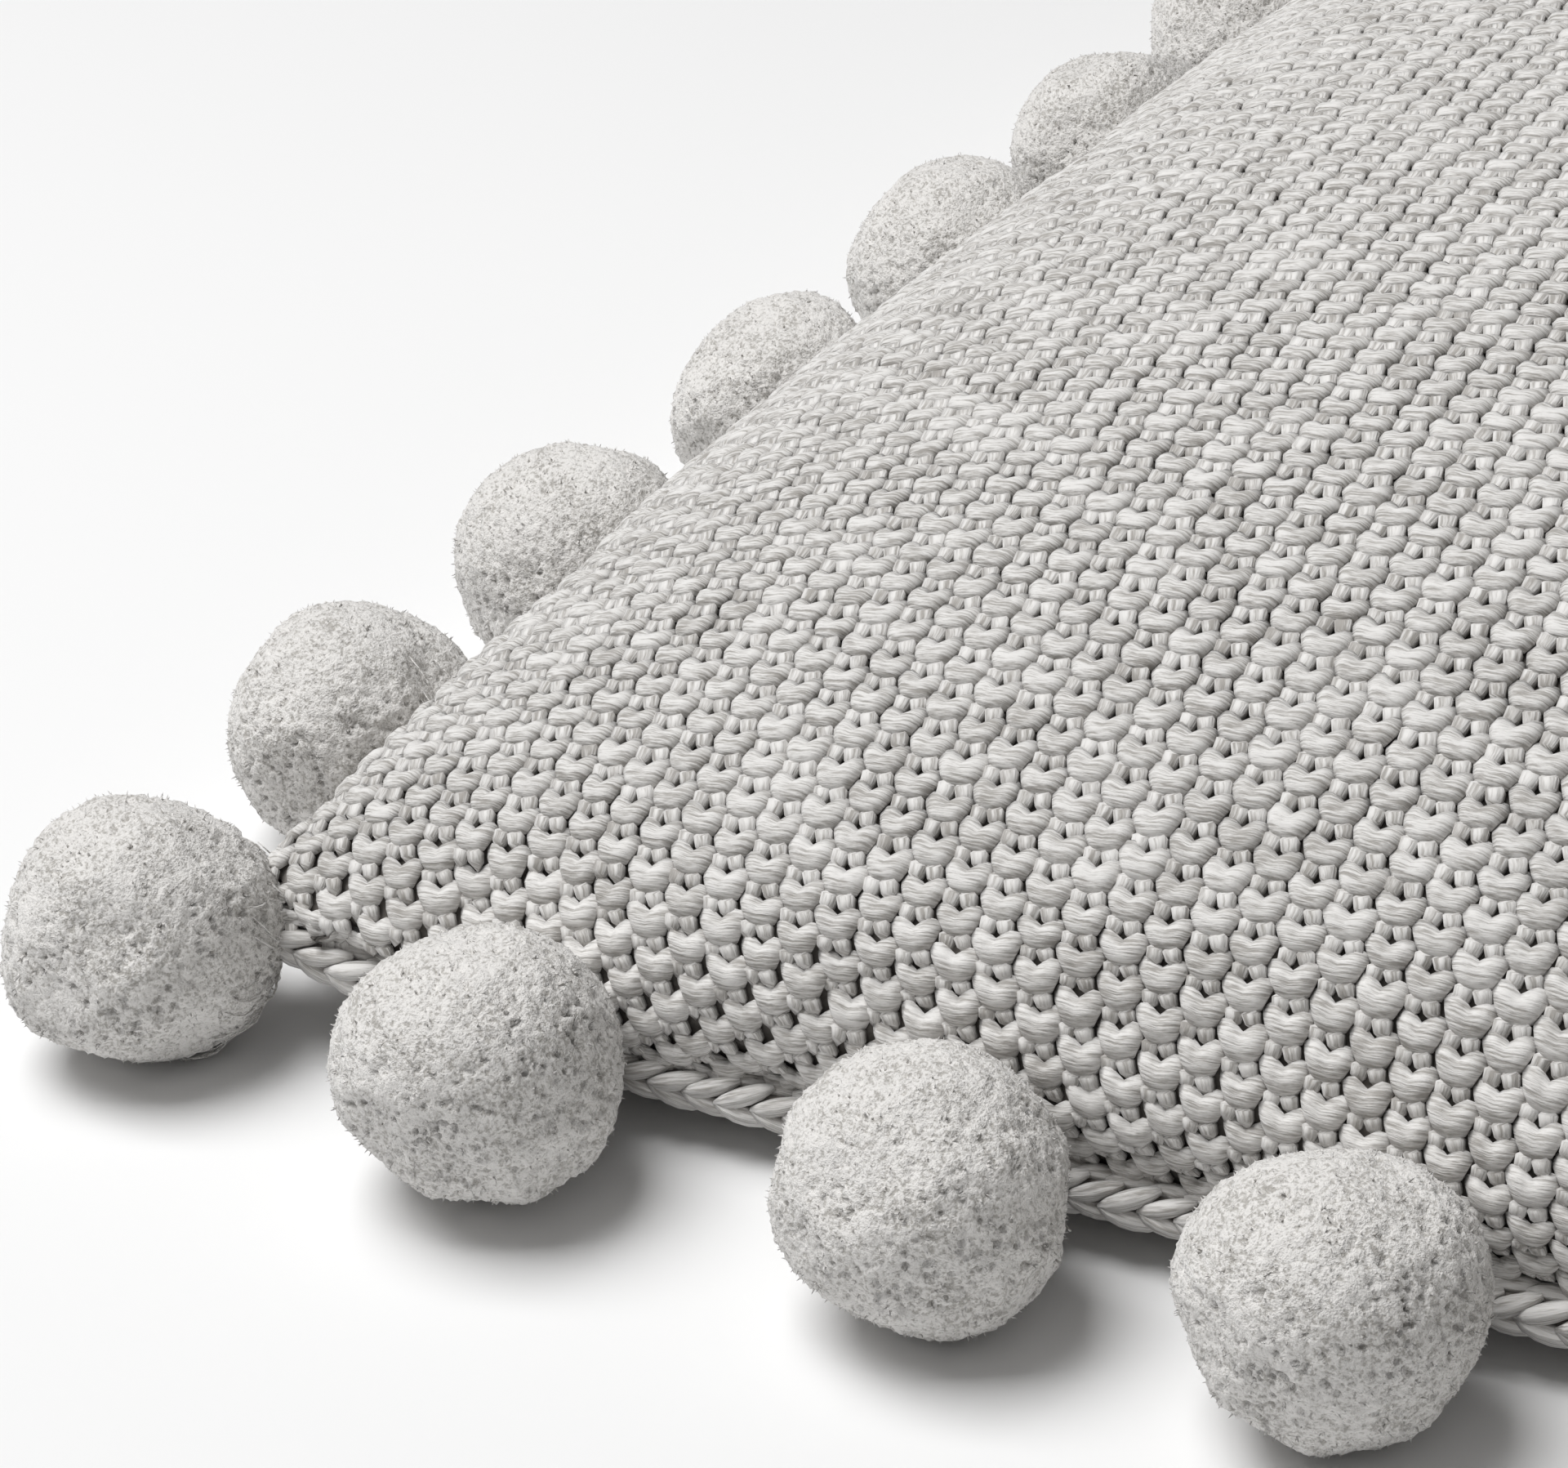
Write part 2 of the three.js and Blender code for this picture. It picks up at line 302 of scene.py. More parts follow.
def metalMaterial():
    shader = Shader("nickel_zip", roughness=0.32, metallic=1.0)
    place = shader.objectPlace()
    brushed = shader.noise(shader.stretched(place, (200, 3000, 3000)), 1.0, 3.0)
    smudge = shader.noise(place, 320.0, 2.0)
    colour = shader.mix(brushed, rgba(0.50, 0.50, 0.51), rgba(0.68, 0.68, 0.69))
    return shader.wear(Base_Color=colour, Roughness=smudge * 0.3 + 0.2,
                       Normal=shader.bump(brushed, 0.15, 0.0001))


def coilMaterial():
    shader = Shader("zip_coil_nylon", roughness=0.45)
    place = shader.objectPlace()
    draw = shader.noise(place, 1500.0, 2.0)
    colour = shader.mix(draw, rgba(0.60, 0.59, 0.57), rgba(0.74, 0.73, 0.71))
    return shader.wear(Base_Color=colour, Normal=shader.bump(draw, 0.2, 0.0001))


seamLow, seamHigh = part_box("bound_edge")
frontLow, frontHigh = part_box("front_knit_panel")
seamHeight = (seamLow.z + seamHigh.z) / 2
halfSide = seamHigh.x

shape = {
    "sideBow": 0.005,         # how far a side's middle pulls in
    "cornerPull": 0.0007,     # how far each corner is rounded in
    "cornerLift": 0.012,      # how far the seam rises to the tie of a corner pom-pom
    "cornerReach": 8,
    "edgeSharpness": 2.2,     # plan power of the crown
    "edgeFullness": 0.38,     # height power of the crown
    "bellyDrop": 0.044,       # free fall of the back panel below the seam
    "overhang": 0.008,        # how far the front panel bulges out over the seam
    "overhangAt": 0.2,        # share of the crown's height where it is widest
    "frontThickness": 0.0055,
    "backThickness": 0.0045,
    "panelGap": 0.0003,       # half the gap between the panels at the seam
    "bindingRadius": 0.0035,
    "bindingClearance": 0.0004,
    "gridSteps": 72,
    "evening": 10,            # passes that even out the courses of stitches
}
seamReach = halfSide - shape["bindingRadius"]
panelReach = seamReach - shape["bindingRadius"] - shape["bindingClearance"]
crownRise = frontHigh.z - frontLow.z


def planFactor(u, v):
    bow = shape["sideBow"] / halfSide
    pull = shape["cornerPull"] / halfSide * np.abs(u * v) ** shape["cornerReach"]
    return 1 - bow * (1 - v * v) - pull


def planPoint(u, v, reach):
    return reach * u * planFactor(u, v), reach * v * planFactor(v, u)


# height of the seam line, which also lifts the panels near a corner
def seamAt(u, v):
    return seamHeight + shape["cornerLift"] * np.abs(u * v) ** shape["cornerReach"]


def crown(u, v):
    power = shape["edgeSharpness"]
    across = np.clip(1 - np.abs(u) ** power, 0, 1)
    along = np.clip(1 - np.abs(v) ** power, 0, 1)
    return (across * along) ** shape["edgeFullness"]


# values of u whose points are evenly spaced along the panel's middle section
def evenSteps(count):
    fine = np.sin(np.linspace(-math.pi / 2, math.pi / 2, 2001))
    x, _ = planPoint(fine, 0 * fine, panelReach)
    z = crownRise * crown(fine, 0 * fine)
    length = np.concatenate([[0], np.cumsum(np.hypot(np.diff(x), np.diff(z)))])
    return np.interp(np.linspace(0, length[-1], count + 1), length, fine)


# points of a panel's outer face, or of a layer inset from it, [row along Y][column along X]
def panelPoints(u, v, upper, inset=0.0):
    x, y = planPoint(u, v, panelReach - inset)
    seam = seamAt(u, v)
    if upper:
        rise = crown(u, v)
        z = seam + (seamHeight + crownRise - inset - seam) * rise
        part = rise / shape["overhangAt"]
        bulge = (shape["overhang"] if inset == 0 else 0) * part * np.exp(1 - part)
        x = x + bulge * np.sign(u) * np.abs(u) ** 4
        y = y + bulge * np.sign(v) * np.abs(v) ** 4
    else:
        z = np.maximum(inset, seam - (shape["bellyDrop"] - inset) * crown(u, v))
    return np.stack([x, y, z], -1)


# u and v of a grid whose rows and columns are evenly spaced over the curved panel
def evenCourses(upper, steps):
    u, v = np.meshgrid(evenSteps(steps), evenSteps(steps))
    for _ in range(shape["evening"]):
        for turned in (False, True):
            if turned:
                u, v = u.T, v.T
            points = panelPoints(u, v, upper)
            length = np.cumsum(np.linalg.norm(np.diff(points, axis=1), axis=-1), axis=1)
            for row in range(steps + 1):
                place = np.concatenate([[0], length[row]])
                even = np.linspace(0, place[-1], steps + 1)
                u[row], v[row] = np.interp(even, place, u[row]), np.interp(even, place, v[row])
            if turned:
                u, v = u.T, v.T
    return u, v


def gridFaces(rows, columns, start=0, flip=False):
    faces = []
    for j in range(rows - 1):
        for i in range(columns - 1):
            a = start + j * columns + i
            quad = (a, a + 1, a + columns + 1, a + columns)
            faces.append(quad[::-1] if flip else quad)
    return faces


def rimLoop(rows, columns, start=0):
    loop = [start + i for i in range(columns - 1)]
    loop += [start + j * columns + columns - 1 for j in range(rows - 1)]
    loop += [start + (rows - 1) * columns + i for i in range(columns - 1, 0, -1)]
    loop += [start + j * columns for j in range(rows - 1, 0, -1)]
    return loop


# one closed body between two grids of the same size
def closedBetween(name, top, bottom):
    rows, columns = top.shape[:2]
    points = np.concatenate([top.reshape(-1, 3), bottom.reshape(-1, 3)])
    faces = gridFaces(rows, columns) + gridFaces(rows, columns, rows * columns, True)
    upperRim = rimLoop(rows, columns)
    lowerRim = rimLoop(rows, columns, rows * columns)
    for k in range(len(upperRim)):
        after = (k + 1) % len(upperRim)
        faces.append((upperRim[k], lowerRim[k], lowerRim[after], upperRim[after]))
    return meshObject(name, points, faces)


def gridNormals(grid):
    across = np.gradient(grid, axis=1)
    along = np.gradient(grid, axis=0)
    normal = np.cross(across, along)
    return normal / np.maximum(np.linalg.norm(normal, axis=-1, keepdims=True), 1e-12)


inflate = {
    "pressure": 1.5,
    "frames": 20,
    "cap": 0.003,      # furthest that a point may move
    "stiffness": 18.0,
    "slack": -0.02,    # negative shrinking: the knit is a little longer than its seam
    "start": 0.95,     # height it starts from, since it swells
    "backing": 0.004,  # from the seam down to the flat sheet that closes the body
}


# the front panel blown up by its filling, held along the seam
def inflated(grid):
    rows, columns = grid.shape[:2]
    seam = seamAt(*frontCourses)
    grid = grid.copy()
    grid[..., 2] = seam + (grid[..., 2] - seam) * inflate["start"]
    low = grid.copy()
    low[..., 2] = seam - inflate["backing"]
    body = closedBetween("inflating", grid, low)
    pins = body.vertex_groups.new(name="held")
    held = rimLoop(rows, columns) + list(range(rows * columns, 2 * rows * columns))
    pins.add(held, 1.0, "REPLACE")
    cloth = body.modifiers.new("cloth", "CLOTH")
    settings = cloth.settings
    settings.quality = 6
    settings.mass = 0.25
    settings.tension_stiffness = inflate["stiffness"]
    settings.compression_stiffness = inflate["stiffness"]
    settings.shear_stiffness = inflate["stiffness"] * 0.4
    settings.bending_stiffness = 2.0
    settings.use_pressure = True
    settings.uniform_pressure_force = inflate["pressure"]
    settings.vertex_group_mass = "held"
    settings.shrink_min = inflate["slack"]
    settings.effector_weights.gravity = 0.0
    cloth.collision_settings.use_collision = False
    cloth.point_cache.frame_start = 1
    cloth.point_cache.frame_end = inflate["frames"]
    for step in range(1, inflate["frames"] + 1):
        scene.frame_set(step)
    evaluated = body.evaluated_get(bpy.context.evaluated_depsgraph_get())
    points = np.empty(2 * rows * columns * 3)
    evaluated.data.vertices.foreach_get("co", points)
    points = points.reshape(-1, 3)[:rows * columns].reshape(rows, columns, 3)
    scene.frame_set(1)
    bpy.data.objects.remove(body)
    move = points - grid
    far = np.linalg.norm(move, axis=-1, keepdims=True)
    print("filling pushes the knit out by", round(1000 * float(far.mean()), 1), "mm on average")
    return grid + move * np.minimum(1, inflate["cap"] / np.maximum(far, 1e-9))


frontCourses = evenCourses(True, shape["gridSteps"])
backCourses = evenCourses(False, shape["gridSteps"])
frontGrid = panelPoints(*frontCourses, True)
backGrid = panelPoints(*backCourses, False)
frontGrid = inflated(frontGrid)
print("pillow shape ready, top at", round(float(frontGrid[..., 2].max()), 4))


# a grid's point at fractional rows and columns
def sampled(grid, row, column):
    rows, columns = grid.shape[:2]
    row = np.clip(row, 0, rows - 1.001)
    column = np.clip(column, 0, columns - 1.001)
    j, i = int(row), int(column)
    fj, fi = row - j, column - i
    low = grid[j, i] * (1 - fi) + grid[j, i + 1] * fi
    high = grid[j + 1, i] * (1 - fi) + grid[j + 1, i + 1] * fi
    return low * (1 - fj) + high * fj


stitch = {
    "width": 0.0069,          # from column to column
    "height": 0.0071,         # from one stitch to the next in its column
    "rise": 0.0029,           # the bump's height above the legs' foot
    "foot": 0.39,             # half width along the bump's lower edge, in widths
    "brow": 0.66,             # half width along its upper edge
    "belly": -0.43,           # lower edge at the middle, in heights
    "notch": 0.24,            # upper edge at the middle
    "ear": 0.23,              # ears above the notch
    "tuck": 0.12,             # how much higher the lower edge is at its ends
    "legTop": (0.14, -0.18),
    "legFoot": (0.30, -0.86),
    "legWidth": 0.2875,       # half width, in widths
    "legRise": 0.0011,
    "legDive": 0.0014,        # how far a leg's top stands above its foot
    "sunk": 0.0012,           # foot of a stitch below the panel's face
    "wander": 0.07,           # random turn of each stitch, radians
    "unevenness": 0.05,       # random change of its size
    "seed": 7,
}


# the plump bar of yarn across a stitch, with an ear at each end; closed underneath
def bumpParts(alongSteps, acrossSteps):
    width, height = stitch["width"], stitch["height"]
    points, uvs, rows = [], [], []
    for a in range(alongSteps + 1):
        s = 2 * a / alongSteps - 1
        low = stitch["belly"] + stitch["tuck"] * abs(s) ** 3
        ear = stitch["ear"] * math.sin(math.pi * abs(s) / 1.15) ** 1.3
        swell = (1 - 0.72 * abs(s) ** 4) ** 0.5
        row = []
        for b in range(acrossSteps + 1):
            t = b / acrossSteps
            half = stitch["foot"] + (stitch["brow"] - stitch["foot"]) * t
            lift = math.sin(math.pi * (0.10 + 0.84 * t)) ** 0.45
            up = low + (stitch["notch"] - low) * t + ear * t ** 2
            row.append(len(points))
            points.append(Vector((width * half * s, height * up, stitch["rise"] * swell * lift)))
            uvs.append((0.5 + 0.5 * s, 0.65 * (up - stitch["belly"]) + 0.35 * t))
        row.append(len(points))
        points.append(Vector((width * 0.42 * s, height * (low + stitch["notch"]) / 2, 0.0)))
        uvs.append((0.5 + 0.5 * s, 0.5))
        rows.append(row)
    return points, uvs, tubeFaces(rows, turned=True)


# one of the two plump strands that drop into the stitch below
def legParts(side, rounds, rows):
    width, height = stitch["width"], stitch["height"]
    top = Vector((side * stitch["legTop"][0] * width, stitch["legTop"][1] * height, stitch["legDive"]))
    foot = Vector((side * stitch["legFoot"][0] * width, stitch["legFoot"][1] * height, 0.0))
    axis = (foot - top).normalized()
    across = Vector((0, 0, 1)).cross(axis).normalized()
    points, uvs, rings = [top], [(2.5 + side, 0.4)], []
    for r in range(1, rows):
        t = r / rows
        swell = math.sin(math.pi * (0.2 + 0.8 * t)) ** 0.5
        middle = top.lerp(foot, t)
        ring = []
        for k in range(rounds):
            turn = 2 * math.pi * (k + 0.5) / rounds
            radius = stitch["legWidth"] * width * swell
            ring.append(len(points))
            points.append(middle + across * radius * math.cos(turn)
                          + Vector((0, 0, stitch["legRise"] * swell * (0.4 + 0.9 * math.sin(turn)))))
            uvs.append((2 + side + 0.5 * t, k / rounds * 0.8))
        rings.append(ring)
    points.append(foot)
    uvs.append((2.5 + side, 0.4))
    faces = tubeFaces(rings, capped=False)
    for k in range(rounds):
        after = (k + 1) % rounds
        faces.append((0, rings[0][after], rings[0][k]))
        faces.append((rings[-1][k], rings[-1][after], len(points) - 1))
    return points, uvs, faces


# one mesh from several parts, with each part's along and across as its yarn UV
def yarnPiece(name, parts, material):
    points, uvs, faces = [], [], []
    for partPoints, partUvs, partFaces in parts:
        base = len(points)
        points += partPoints
        uvs += partUvs
        faces += [tuple(base + i for i in face) for face in partFaces]
    obj = meshObject(name, points, faces)
    layer = obj.data.uv_layers.new(name="yarn")
    for loop in obj.data.loops:
        layer.data[loop.index].uv = uvs[loop.vertex_index]
    return setMaterial(obj, material)


def frameOf(across, along):
    across = across.normalized()
    normal = across.cross(along).normalized()
    return Matrix((across, normal.cross(across), normal)).transposed().to_quaternion()


# place, turn and size of every stitch on a panel; alternate columns are half a stitch along
def stitchSites(grid, upper, skipped=None):
    rows, columns = grid.shape[:2]
    middle = grid[rows // 2]
    acrossLength = np.linalg.norm(np.diff(middle, axis=0), axis=1).sum()
    alongLength = np.linalg.norm(np.diff(grid[:, columns // 2], axis=0), axis=1).sum()
    across = round(acrossLength / stitch["width"])
    along = round(alongLength / stitch["height"])
    sites = []
    for c in range(across):
        column = (c + 0.5) / across * (columns - 1)
        for r in range(along):
            row = (r + 0.25 + 0.5 * (c % 2)) / along * (rows - 1)
            place = sampled(grid, row, column)
            if skipped and skipped(place):
                continue
            step = 0.4
            right = sampled(grid, row, column + step) - sampled(grid, row, column - step)
            up = sampled(grid, row + step, column) - sampled(grid, row - step, column)
            wide = np.linalg.norm(right) / (2 * step) * (columns - 1) / across
            tall = np.linalg.norm(up) / (2 * step) * (rows - 1) / along
            right, up = Vector(right), Vector(up)
            if not upper:
                right = -right
            sites.append((place, frameOf(right, up), wide / stitch["width"], tall / stitch["height"]))
    return sites


# a mesh of bare points that carry each stitch's turn and size
def siteMesh(name, sites):
    mesh = bpy.data.meshes.new(name)
    mesh.from_pydata([tuple(place) for place, _, _, _ in sites], [], [])
    turn = mesh.attributes.new("turn", "QUATERNION", "POINT")
    turn.data.foreach_set("value", [c for _, q, _, _ in sites for c in q])
    size = mesh.attributes.new("size", "FLOAT_VECTOR", "POINT")
    size.data.foreach_set("vector", [c for _, _, wide, tall in sites
                                     for c in (wide, tall, 0.5 * (wide + tall))])
    return keep(bpy.data.objects.new(name, mesh))


class Tree:
    # a Geometry Nodes tree with named inputs

    def __init__(self, name, inputs):
        self.group = bpy.data.node_groups.new(name, "GeometryNodeTree")
        face = self.group.interface
        face.new_socket("Geometry", in_out="INPUT", socket_type="NodeSocketGeometry")
        self.sockets = {}
        for label, kind, value in inputs:
            socket = face.new_socket(label, in_out="INPUT", socket_type="NodeSocket" + kind)
            if value is not None:
                socket.default_value = value
            self.sockets[label] = socket.identifier
        face.new_socket("Geometry", in_out="OUTPUT", socket_type="NodeSocketGeometry")
        self.start = self.group.nodes.new("NodeGroupInput")
        self.end = self.group.nodes.new("NodeGroupOutput")

    def add(self, kind, settings=None, values=None):
        node = self.group.nodes.new(kind)
        for key, value in (settings or {}).items():
            setattr(node, key, value)
        for key, value in (values or {}).items():
            if isinstance(value, bpy.types.NodeSocket):
                self.group.links.new(value, node.inputs[key])
            else:
                node.inputs[key].default_value = value
        return node

    def given(self, label):
        return self.start.outputs[label]

    def named(self, attribute, kind):
        node = self.add("GeometryNodeInputNamedAttribute", {"data_type": kind}, {"Name": attribute})
        return node.outputs[0]

    def finish(self, geometry, material):
        real = self.add("GeometryNodeRealizeInstances", None, {"Geometry": geometry})
        painted = self.add("GeometryNodeSetMaterial", None,
                           {"Geometry": real.outputs[0], "Material": material})
        self.group.links.new(painted.outputs[0], self.end.inputs["Geometry"])
        return self.group


# a piece repeated at every point, turned and sized by the point's own attributes
def repeatTree(name):
    tree = Tree(name, [("Piece", "Object", None), ("Material", "Material", None), ("Size", "Float", 1.0),
                       ("Wander", "Float", 0.0), ("Unevenness", "Float", 0.0), ("Seed", "Int", 0)])
    piece = tree.add("GeometryNodeObjectInfo", None, {"Object": tree.given("Piece")})
    spread = tree.add("ShaderNodeVectorMath", {"operation": "SCALE"},
                      {0: (1.0, 1.0, 1.0), "Scale": tree.given("Wander")})
    back = tree.add("ShaderNodeVectorMath", {"operation": "SCALE"}, {0: spread.outputs[0], "Scale": -1.0})
    wander = tree.add("FunctionNodeRandomValue", {"data_type": "FLOAT_VECTOR"},
                      {0: back.outputs[0], 1: spread.outputs[0], "Seed": tree.given("Seed")})
    turned = tree.add("FunctionNodeRotateRotation", {"rotation_space": "LOCAL"},
                      {0: tree.named("turn", "QUATERNION"), 1: wander.outputs[0]})
    smallest = tree.add("ShaderNodeMath", {"operation": "SUBTRACT"}, {0: 1.0, 1: tree.given("Unevenness")})
    largest = tree.add("ShaderNodeMath", {"operation": "ADD"}, {0: 1.0, 1: tree.given("Unevenness")})
    uneven = tree.add("FunctionNodeRandomValue", {"data_type": "FLOAT"},
                      {2: smallest.outputs[0], 3: largest.outputs[0], "Seed": tree.given("Seed")})
    scaled = tree.add("ShaderNodeMath", {"operation": "MULTIPLY"},
                      {0: uneven.outputs[1], 1: tree.given("Size")})
    size = tree.add("ShaderNodeVectorMath", {"operation": "SCALE"},
                    {0: tree.named("size", "FLOAT_VECTOR"), "Scale": scaled.outputs[0]})
    placed = tree.add("GeometryNodeInstanceOnPoints", None,
                      {"Points": tree.given("Geometry"), "Instance": piece.outputs["Geometry"],
                       "Rotation": turned.outputs[0], "Scale": size.outputs[0]})
    pick = tree.add("FunctionNodeRandomValue", {"data_type": "FLOAT"}, {"Seed": tree.given("Seed")})
    marked = tree.add("GeometryNodeStoreNamedAttribute", {"data_type": "FLOAT", "domain": "INSTANCE"},
                      {"Geometry": placed.outputs[0], "Name": "pick", "Value": pick.outputs[1]})
    return tree, tree.finish(marked.outputs[0], tree.given("Material"))


repeater, repeaterGroup = repeatTree("repeat at points")


def repeated(points, name, piece, material, wander=0.0, unevenness=0.0, size=1.0, seed=0):
    modifier = points.modifiers.new("repeat", "NODES")
    modifier.node_group = repeaterGroup
    values = {"Piece": piece, "Material": material, "Size": size, "Wander": wander,
              "Unevenness": unevenness, "Seed": seed}
    for label, value in values.items():
        modifier[repeater.sockets[label]] = value
    return finished(points, name)


knitYarn = yarnMaterial("knit_yarn")
knitPaintedShade = paintedShadeGroundMaterial()
fineStitch = yarnPiece("fineStitch", [bumpParts(8, 3), legParts(-1, 4, 3), legParts(1, 4, 3)], knitYarn)
plainStitch = yarnPiece("plainStitch", [bumpParts(4, 2), legParts(-1, 4, 2), legParts(1, 4, 2)], knitYarn)

zipLow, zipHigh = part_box("zip_tape_near")
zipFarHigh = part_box("zip_tape_far")[1]
slitMargin = 0.0006
slitLow = Vector((zipLow.x - slitMargin / 2, zipLow.y - slitMargin, 0))
slitHigh = Vector((zipHigh.x + slitMargin / 2, zipFarHigh.y + slitMargin, 0))


def onZip(place):
    reach = stitch["height"] * 0.5
    return (slitLow.x - reach < place[0] < slitHigh.x + reach
            and slitLow.y - reach < place[1] < slitHigh.y + reach)


# a closed shell painted dark as the shade deep between the stitches, covered with stitches
def knitPanel(name, grid, courses, piece, thickness, skipped=None):
    upper = courses is frontCourses
    normals = gridNormals(grid) * (1 if upper else -1)
    outer = grid - normals * stitch["sunk"] * 1.1
    inner = grid - normals * thickness
    for edge in (outer, inner):
        rim = seamAt(*courses) + (shape["panelGap"] if upper else -shape["panelGap"])
        edge[..., 2] = np.maximum(edge[..., 2], rim) if upper else np.minimum(edge[..., 2], rim)
    ground = closedBetween(name, outer, inner) if upper else closedBetween(name, inner, outer)
    # the shell carries the painted shade seen between the stitches
    setMaterial(ground, knitPaintedShade)
    sites = stitchSites(grid - normals * stitch["sunk"], upper, skipped)
    stitches = repeated(siteMesh(name + "_sites", sites), name + "_stitches", piece, knitYarn,
                        wander=stitch["wander"], unevenness=stitch["unevenness"], seed=stitch["seed"])
    print(name, "has", len(sites), "stitches")
    return ground, stitches


def makeFront():
    ground, stitches = knitPanel("front_panel_knit", frontGrid, frontCourses, fineStitch,
                                 shape["frontThickness"])
    panel = joined(ground, stitches)
    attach(panel, rootBody)
    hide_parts("front_knit_panel")


def makeBack():
    raised = backGrid.copy()
    raised[..., 2] = np.maximum(raised[..., 2], stitch["rise"] - stitch["sunk"] + 0.0004)
    ground, stitches = knitPanel("back_panel_knit", raised, backCourses, plainStitch,
                                 shape["backThickness"], onZip)
    corners = [(x, y, z) for x in (slitLow.x, slitHigh.x) for y in (slitLow.y, slitHigh.y)
               for z in (-0.02, 0.03)]
    sides = [(0, 1, 3, 2), (4, 6, 7, 5), (0, 4, 5, 1), (2, 3, 7, 6), (0, 2, 6, 4), (1, 5, 7, 3)]
    cutter = meshObject("slit", corners, sides)
    cut = ground.modifiers.new("slit", "BOOLEAN")
    cut.operation = "DIFFERENCE"
    cut.solver = "EXACT"
    cut.object = cutter
    ground = finished(ground, "back_panel_knit")
    bpy.data.objects.remove(cutter)
    panel = joined(ground, stitches)
    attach(panel, rootBody)
    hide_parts("back_knit_panel")


makeFront()
makeBack()


binding = {
    "linkLength": 0.0062,
    "strandRadius": 0.0016,
    "chainRadius": 0.0031,
    "coreRadius": 0.002232,   # yarn inside the chain, painted dark as the shade within it
    "tuck": 0.0012,           # how far the chain lies inside the seam line
    "seed": 3,
}


# a point on the seam line: side 0 to 3, along from -1 to 1
def seamPoint(side, along, reach=seamReach):
    x, y = planPoint(np.float64(along), np.float64(-1.0), reach)
    turn = Matrix.Rotation(side * math.pi / 2, 3, "Z")
    return turn @ Vector((x, y, seamAt(along, 1.0)))


# one link of the cast-off chain: two strands that part like a V, and one that closes over the top
def linkPiece():
    length, radius = binding["linkLength"], binding["chainRadius"]
    routes = [
        [(-0.75, -0.95, -0.05), (0.0, -0.90, 0.50), (0.75, -0.25, 0.95)],
        [(-0.75, -0.95, 0.05), (0.0, -0.90, -0.50), (0.75, -0.25, -0.90)],
        [(-0.75, 0.00, 0.80), (0.0, 0.45, 0.75), (0.75, 0.80, 0.35)],
    ]
    parts = [strand([Vector((x * length, y * radius, z * radius)) for x, y, z in route],
                    binding["strandRadius"], 5, 6) for route in routes]
    return yarnPiece("castOffLink", parts, knitYarn)


# a short plump length of yarn along a curve through three points
def strand(route, radius, rows, rounds):
    points, uvs, rings = [], [], []
    first, middle, last = route
    for r in range(rows + 1):
        t = r / rows
        place = first * (1 - t) ** 2 + (2 * middle - (first + last) / 2) * 2 * t * (1 - t) + last * t * t
        tangent = ((2 * middle - (first + last) / 2 - first) * (1 - t)
                   + (last - 2 * middle + (first + last) / 2) * t).normalized()
        swell = 0.35 + 0.65 * math.sin(math.pi * t) ** 0.6
        side = tangent.cross(Vector((0.1, 0.2, 1))).normalized()
        up = side.cross(tangent)
        rings.append(addRing(points, place, side * radius * swell, up * radius * swell, rounds))
        uvs += [(t, k / rounds) for k in range(rounds)]
    return points, uvs, tubeFaces(rings)


def makeBinding():
    sites = []
    rim = []
    count = round(2 * seamReach / binding["linkLength"])
    for side in range(4):
        for k in range(count):
            along = 2 * (k + 0.5) / count - 1
            place, ahead, behind = [seamPoint(side, spot, seamReach - binding["tuck"])
                                    for spot in (along, min(1, along + 0.01), max(-1, along - 0.01))]
            tangent = (ahead - behind).normalized()
            sites.append((place, frameOf(tangent, Vector((0, 0, 1)).cross(tangent)), 1.0, 1.0))
            rim.append((place, tangent))
    link = linkPiece()
    chain = repeated(siteMesh("bindingSites", sites), "bound_edge_chain", link, knitYarn,
                     wander=0.10, unevenness=0.06, seed=binding["seed"])
    bpy.data.objects.remove(link)
    core = ringTube("bound_edge_core", rim, binding["coreRadius"], 6)
    # painted shade: the core wears the dark shell material, standing for the shadow inside the chain
    setMaterial(core, knitPaintedShade)
    edge = joined(core, chain)
    edge.name = "bound_edge_cast_off"
    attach(edge, rootBody)
    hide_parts("bound_edge")


# an endless tube through the points of the rim
def ringTube(name, rim, radius, rounds):
    points, rings = [], []
    for place, tangent in rim:
        outward = tangent.cross(Vector((0, 0, 1)))
        rings.append(addRing(points, place, outward * radius, Vector((0, 0, radius)), rounds))
    return meshObject(name, points, tubeFaces(rings + rings[:1], capped=False, turned=True))


makeBinding()
print("bound edge ready")


pom = {
    "radius": 0.0219,
    "lumps": 0.0007,
    "cuts": 22,              # flat snips of the scissors
    "cutDepth": (0.0002, 0.0016),
    "clumps": 0.0003,        # height of the uneven cut, over a few millimetres
    "clumpScale": 6.5,
    "fineClumpScale": 15,
    "grain": 0.00016,        # height of single yarn ends
    "pits": 0.06,            # share of the ends that are cut short
    "pitDepth": 0.0009,
    "pitScale": 4,
    "tufts": 800,
    "tuftWidth": 0.00030,
    "tuftHeight": 0.0014,
    "splayed": 200,          # longer ends that spread from the tie
    "splayLength": 0.0068,
    "splayWidth": 0.00022,
    "splayCurl": 0.0006,
    "splayArch": 0.0007,
    "splayDroop": 0.0016,
    "tieRadius": 0.0019,
    "press": 0.0012,         # from the panel's face to pile that leans on it
    "kinds": 4,
    "wide": (1.02, 1.10),    # how much wider along the seam than high
    "settled": {             # how far a ball's loose tie lets it lie off its place, in millimetres
        "pompom_01": (1.5, 1.5, 0),
        "pompom_02": (-4, 0, 0),
        "pompom_03": (4.5, 0, 0),
        "pompom_26": (2, -3, 0),
        "pompom_27": (2, -6, 0),
        "pompom_28": (2, -7, 0),
    },
    "seed": 21,
}


